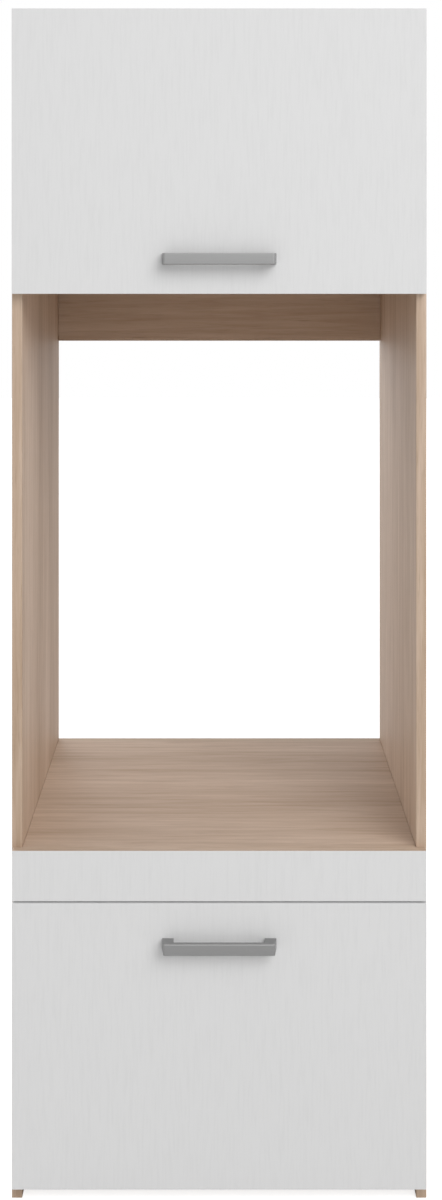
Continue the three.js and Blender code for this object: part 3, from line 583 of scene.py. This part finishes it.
# places of the screws: sheet is the thickness of the metal that the head lies on
fixingLook = {
    "hingePlate": {"sheet": 0.0025, "wing": 0.016},  # wing is from the middle to a screw
    "hingeCup": {"wing": 0.0218},
    "hingeArm": {"reaches": (0.0345, 0.0625)},  # adjusting screws, from the front of the arm
    "stayBracket": {"sheet": 0.002, "apart": 0.012, "above": 0.032, "below": 0.034},
    "flapBracket": {"sheet": 0.002, "inset": 0.009, "apart": 0.015},
    "drawerAngle": {"sheet": 0.002, "inset": 0.0185, "apart": 0.018},
    "runner": {"sheet": 0.0012, "front": 0.035, "middle": 0.2, "rear": 0.045},
    "drawerSide": {"levels": (0.088, 0.2, 0.32)},
}
for label, side in (("left", -1), ("right", 1)):
    look = fixingLook["hingePlate"]
    low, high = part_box(f"hinge_plate_{label}")
    middle = (low + high) / 2
    under = high.z - look["sheet"]
    addScrews(f"hinge_plate_{label}", [
        (middle.x + way * look["wing"], middle.y, under) for way in (-1, 1)], (0, 0, -1))

    look = fixingLook["hingeCup"]
    low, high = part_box(f"hinge_cup_{label}")
    middle = (low + high) / 2
    addScrews(f"hinge_cup_{label}", [
        (middle.x + way * look["wing"], high.y, middle.z) for way in (-1, 1)], (0, 1, 0))

    # in line with the middle of the cup
    look = fixingLook["hingeArm"]
    low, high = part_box(f"hinge_arm_{label}")
    addScrews(f"hinge_arm_{label}", [
        (middle.x, low.y + reach, low.z) for reach in look["reaches"]], (0, 0, -1))

    look = fixingLook["stayBracket"]
    low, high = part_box(f"stay_bracket_{label}")
    middle = (low + high) / 2
    face = side * (max(abs(low.x), abs(high.x)) - look["sheet"])
    addScrews(f"stay_bracket_{label}", [
        (face, middle.y - look["apart"], middle.z + look["above"]),
        (face, middle.y + look["apart"], middle.z + look["above"]),
        (face, middle.y, middle.z - look["below"])], (-side, 0, 0))

    look = fixingLook["flapBracket"]
    low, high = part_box(f"flap_bracket_{label}")
    across = side * (min(abs(low.x), abs(high.x)) + look["inset"])
    addScrews(f"flap_bracket_{label}", [
        (across, low.y + look["sheet"], (low.z + high.z) / 2 + way * look["apart"])
        for way in (-1, 1)], (0, 1, 0))

    # two screws into the drawer front and two into the drawer side
    look = fixingLook["drawerAngle"]
    low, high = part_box(f"drawer_angle_{label}")
    outer = max(abs(low.x), abs(high.x))
    levels = [(low.z + high.z) / 2 + way * look["apart"] for way in (-1, 1)]
    addScrews(f"drawer_angle_{label}", [
        (side * (outer - look["inset"]), low.y + look["sheet"], level) for level in levels],
        (0, 1, 0))
    addScrews(f"drawer_angle_{label}", [
        (side * (outer - look["sheet"]), low.y + look["inset"], level) for level in levels],
        (-side, 0, 0), first=3)

    look = fixingLook["runner"]
    low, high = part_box(f"runner_cabinet_{label}")
    face = side * (max(abs(low.x), abs(high.x)) - look["sheet"])
    places = [low.y + look["front"], (low.y + high.y) / 2, high.y - look["rear"]]
    addScrews(f"runner_cabinet_{label}", [
        (face, place, (low.z + high.z) / 2) for place in places], (-side, 0, 0))
    low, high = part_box(f"runner_drawer_{label}")
    face = side * (min(abs(low.x), abs(high.x)) + look["sheet"])
    places = [low.y + look["front"], low.y + look["middle"], high.y - look["rear"]]
    addScrews(f"runner_drawer_{label}", [
        (face, place, (low.z + high.z) / 2) for place in places], (side, 0, 0))

    look = fixingLook["drawerSide"]
    low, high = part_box(f"drawer_side_{label}")
    face = side * max(abs(low.x), abs(high.x))
    backMiddle = sum(corner.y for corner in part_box("drawer_back")) / 2
    addScrews(f"drawer_side_{label}", [
        (face, backMiddle, level) for level in look["levels"]], (side, 0, 0))
print("plate screws made")

# cross recesses of the larger screws, which are in the CAD model
recessLook = {
    "handleScrew": {"turn": 28, "size": 1},
    "fasciaScrew": {"turn": 15, "size": 1.15},
    "wallScrew": {"turn": 50, "size": 1.15},
}
for label in ("left", "right"):
    for handle in ("flap", "drawer"):
        node = f"{handle}_handle_screw_{label}"
        low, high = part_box(node)
        middle = (low + high) / 2
        carveCross(pieces[node], (middle.x, high.y, middle.z), (0, 1, 0),
                   **recessLook["handleScrew"])
    low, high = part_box(f"fascia_screw_{label}")
    middle = (low + high) / 2
    carveCross(pieces[f"fascia_screw_{label}"], (middle.x, high.y, middle.z), (0, 1, 0),
               **recessLook["fasciaScrew"])
    low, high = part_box(f"wall_bracket_screw_{label}")
    middle = (low + high) / 2
    carveCross(pieces[f"wall_bracket_screw_{label}"], (middle.x, middle.y, low.z), (0, 0, -1),
               **recessLook["wallScrew"])

# cam fittings of the boards: round zinc castings turned with a screwdriver, sunk in their bores
camLook = {
    "radius": 0.0072,
    "height": 0.0115,
    "sunk": 0.0004,  # the face, below that of the board
    "arris": 0.0002,
    "rim": 0.0009,
    "dish": 0.0005,  # the hollow between rim and hub
    "dishSlope": 0.0003,
    "hubRadius": 0.0031,
    "gap": 0.0002,
    "boreAbove": 0.001,
    "sides": 32,
    "recess": 1.35,
    "turnStep": 53,
    "fromEnd": 0.034,
    "fromEdge": 0.05,
}
camFace = -camLook["sunk"]
camDish = camFace - camLook["dish"]
camRim = camLook["radius"] - camLook["rim"]
camModel = turnUp("cam_model", [
    (camLook["radius"], -camLook["height"]),
    (camLook["radius"], camFace - camLook["arris"]),
    (camLook["radius"] - camLook["arris"], camFace),
    (camRim, camFace),
    (camRim - camLook["dishSlope"], camDish),
    (camLook["hubRadius"] + camLook["dishSlope"], camDish),
    (camLook["hubRadius"], camFace)], camLook["sides"])
carveCross(camModel, (0, 0, camFace), (0, 0, 1), size=camLook["recess"])
camBore = turnUp("cam_bore", [
    (camLook["radius"] + camLook["gap"], -camLook["height"] - camLook["gap"]),
    (camLook["radius"] + camLook["gap"], camLook["boreAbove"])], camLook["sides"])


def addCams(node, spots, facing):
    combine(pieces[node], [placedCopy(camBore, "tool", at, facing) for at in spots], "DIFFERENCE")
    for number, at in enumerate(spots, 1):
        turn = camLook["turnStep"] * number
        cam = placedCopy(camModel, f"{node}_cam_{number}", at, facing, turn)
        finishFitting(cam, "zinc_steel", bodyOf[node])


# facing 1 has its cams on the upper or rear face, -1 on the lower or front face
for node, facing in (("top_board", -1), ("compartment_floor", 1), ("bay_shelf", -1),
                     ("bottom_board", -1)):
    low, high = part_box(node)
    ends = (low.x + camLook["fromEnd"], high.x - camLook["fromEnd"])
    rows = (low.y + camLook["fromEdge"], high.y - camLook["fromEdge"])
    level = high.z if facing > 0 else low.z
    addCams(node, [(end, row, level) for end in ends for row in rows], (0, 0, facing))
for node, facing in (("support_rail_front", 1), ("support_rail_middle", -1),
                     ("support_rail_rear", -1), ("rear_stretcher", 1)):
    low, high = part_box(node)
    ends = (low.x + camLook["fromEnd"], high.x - camLook["fromEnd"])
    face = high.y if facing > 0 else low.y
    addCams(node, [(end, face, (low.z + high.z) / 2) for end in ends], (0, facing, 0))
print("cam fittings made")

# panel pins that hold the hardboard to the rear edges of the boards, sunk flush
pinLook = {
    "headRadius": 0.0015,
    "headDepth": 0.0006,
    "headSlope": 0.0001,
    "crownDrop": 0.0002,  # the head is slightly domed
    "crownShare": 0.6,
    "sunk": 0.00005,
    "shankRadius": 0.0007,
    "length": 0.012,
    "pointLength": 0.002,
    "pointRadius": 0.0001,
    "gap": 0.0002,
    "gapUnder": 0.0001,
    "holeAbove": 0.0005,
    "sides": 12,
    "fromEnd": 0.02,
    "perRow": 7,
}
pinModel = turnUp("pin_model", [
    (pinLook["pointRadius"], -pinLook["length"]),
    (pinLook["shankRadius"], -pinLook["length"] + pinLook["pointLength"]),
    (pinLook["shankRadius"], -pinLook["headDepth"]),
    (pinLook["headRadius"], -pinLook["headDepth"] + pinLook["headSlope"]),
    (pinLook["headRadius"], -pinLook["crownDrop"]),
    (pinLook["headRadius"] * pinLook["crownShare"], -pinLook["sunk"])], pinLook["sides"])
pinSink = turnUp("pin_sink", [
    (pinLook["headRadius"] + pinLook["gap"], -pinLook["headDepth"] - pinLook["gapUnder"]),
    (pinLook["headRadius"] + pinLook["gap"] * 2, pinLook["holeAbove"])], pinLook["sides"])
for node, boards in (("upper_back_panel", ("top_board", "compartment_floor")),
                     ("lower_back_panel", ("bay_shelf", "bottom_board"))):
    low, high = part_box(node)
    reach = high.x - pinLook["fromEnd"]
    gaps = pinLook["perRow"] - 1
    spots = {}
    for board in boards:
        level = sum(corner.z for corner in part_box(board)) / 2
        for number in range(pinLook["perRow"]):
            spots[f"{board}_pin_{number + 1}"] = (reach * (2 * number / gaps - 1), high.y, level)
    tools = [placedCopy(pinSink, "tool", at, (0, 1, 0)) for at in spots.values()]
    combine(pieces[node], tools, "DIFFERENCE")
    for name, at in spots.items():
        finishFitting(placedCopy(pinModel, name, at, (0, 1, 0)), "zinc_steel", bodyOf[node])
print("panel pins made")

# grip and cross recess of the brake knobs on the stays
knobLook = {
    "radius": 0.012,
    "thickness": 0.005,
    "grooves": 18,
    "grooveRadius": 0.0009,
    "grooveOut": 0.3,  # share of its radius that a groove's middle lies outside the knob
    "grooveFoot": 0.0004,  # left uncut at the foot of the knob
    "grooveAbove": 0.001,
    "sides": 12,
    "recess": {"turn": 20, "size": 1.6},
}
grooveModel = turnUp("groove_model", [
    (knobLook["grooveRadius"], -knobLook["thickness"] + knobLook["grooveFoot"]),
    (knobLook["grooveRadius"], knobLook["grooveAbove"])], knobLook["sides"])
for label, side in (("left", -1), ("right", 1)):
    node = f"stay_bracket_{label}"
    low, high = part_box(node)
    middle = (low + high) / 2
    face = side * min(abs(low.x), abs(high.x))
    reach = knobLook["radius"] + knobLook["grooveRadius"] * knobLook["grooveOut"]
    tools = []
    for number in range(knobLook["grooves"]):
        angle = math.tau * number / knobLook["grooves"]
        at = (face, middle.y + reach * math.cos(angle), middle.z + reach * math.sin(angle))
        tools.append(placedCopy(grooveModel, "tool", at, (-side, 0, 0)))
    combine(pieces[node], tools, "DIFFERENCE")
    carveCross(pieces[node], (face, middle.y, middle.z), (-side, 0, 0), **knobLook["recess"])

for model in (crossModel, screwModel, screwHole, camModel, camBore, pinModel, pinSink, grooveModel):
    bpy.data.objects.remove(model)
for piece in pieces.values():
    smoothOff(piece, meshLook["pieceSmooth"])
meshes = [item for item in bpy.data.objects if item.type == "MESH"]
print("fittings made,", len(meshes), "meshes in all")


# studio
studioLook = {
    "floor": "#EEEEEE",
    "floorLift": 0.76,  # brings the lit floor up to white for the camera and leaves a pale shadow
    "mirroredLift": 0.02,  # the same for what metal and clear plastic show of it
    "backdrop": "#FFFFFF",
    "ambient": 0.5,  # what lights the cabinet from all round
    "floorSize": 30,
}


def seenShare(tree, direct, mirrored, unseen):
    # a strength for what the camera sees directly, for what a polished or clear surface shows,
    # and for all other light
    rays = addNode(tree, "ShaderNodeLightPath").outputs
    inSurface = addNode(tree, "ShaderNodeMath", {
        0: rays["Is Glossy Ray"], 1: rays["Is Transmission Ray"]}, operation="MAXIMUM").outputs[0]
    indirect = addNode(tree, "ShaderNodeMapRange", {
        "Value": inSurface, "To Min": unseen, "To Max": mirrored}).outputs["Result"]
    return addNode(tree, "ShaderNodeMapRange", {
        "Value": rays["Is Camera Ray"], "To Min": indirect, "To Max": direct}).outputs["Result"]


def makeBackdrop(name):
    # the camera sees plain white, what falls on the floor still shades it
    material, tree = newFinish(name)
    matt = addNode(tree, "ShaderNodeBsdfDiffuse", {"Color": linearColour(studioLook["floor"])})
    lift = seenShare(tree, studioLook["floorLift"], studioLook["mirroredLift"], 0)
    glow = addNode(tree, "ShaderNodeEmission", {"Strength": lift})
    both = addNode(tree, "ShaderNodeAddShader", {0: matt.outputs[0], 1: glow.outputs[0]})
    addNode(tree, "ShaderNodeOutputMaterial", {"Surface": both.outputs[0]})
    return material


bpy.ops.object.select_all(action="DESELECT")
bpy.ops.mesh.primitive_plane_add(size=studioLook["floorSize"], location=(0, 0, 0))
floor = bpy.context.object
floor.name = "studio_floor"
floor.data.materials.append(makeBackdrop("pale_floor"))

world = bpy.data.worlds.new("studio")
bpy.context.scene.world = world
world.use_nodes = True
world.node_tree.nodes.clear()
sky = addNode(world.node_tree, "ShaderNodeBackground", {
    "Color": linearColour(studioLook["backdrop"]),
    "Strength": seenShare(world.node_tree, 1, 1, studioLook["ambient"])})
addNode(world.node_tree, "ShaderNodeOutputWorld", {"Surface": sky.outputs[0]})

# a large soft lamp in front, high up on the right, and a weaker one behind for the back and sides
lampLook = {
    "key": {"place": (4.8, -7.6, 6.9), "aim": (0, 0, 0.9), "size": 7, "power": 605},
    "rearFill": {"place": (-6.0, 9.5, 4.8), "aim": (0, 0, 0.9), "size": 8, "power": 420},
}
for name, look in lampLook.items():
    lamp = bpy.data.lights.new(name, "AREA")
    lamp.size = look["size"]
    lamp.energy = look["power"]
    holder = bpy.data.objects.new(name, lamp)
    holder.location = look["place"]
    beam = Vector(look["aim"]) - Vector(look["place"])
    holder.rotation_euler = beam.to_track_quat("-Z", "Y").to_euler()
    bpy.context.scene.collection.objects.link(holder)
print("studio made")

# camera: columns and rows count in a picture of the size given here
cameraLook = {
    "picture": (442, 1200),
    "centre": 219.2,  # column of the cabinet's middle
    "drawerRow": 1189.8,  # row of the lower edge of the drawer front
    "pixelsPerMetre": 650.6,  # on the face of the fronts
    "distance": 2.6,  # from that face
    "eyeHeight": 1.45,
    "clipEnd": 60,
}
columns, rows = cameraLook["picture"]
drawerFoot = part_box("drawer_front")[0]
focal = cameraLook["pixelsPerMetre"] * cameraLook["distance"]
eyeAbove = cameraLook["eyeHeight"] - drawerFoot.z
horizonRow = cameraLook["drawerRow"] - cameraLook["pixelsPerMetre"] * eyeAbove
camera = bpy.data.cameras.new("camera")
camera.lens = camera.sensor_width * focal / rows
camera.shift_x = (columns / 2 - cameraLook["centre"]) / rows
camera.shift_y = (horizonRow - rows / 2) / rows
camera.clip_end = cameraLook["clipEnd"]
viewer = bpy.data.objects.new("camera", camera)
viewer.location = (0, drawerFoot.y - cameraLook["distance"], cameraLook["eyeHeight"])
viewer.rotation_euler = (math.radians(90), 0, 0)
bpy.context.scene.collection.objects.link(viewer)
bpy.context.scene.camera = viewer
bpy.context.scene.view_settings.view_transform = "Standard"
print("camera placed, horizon at row", round(horizonRow, 1))
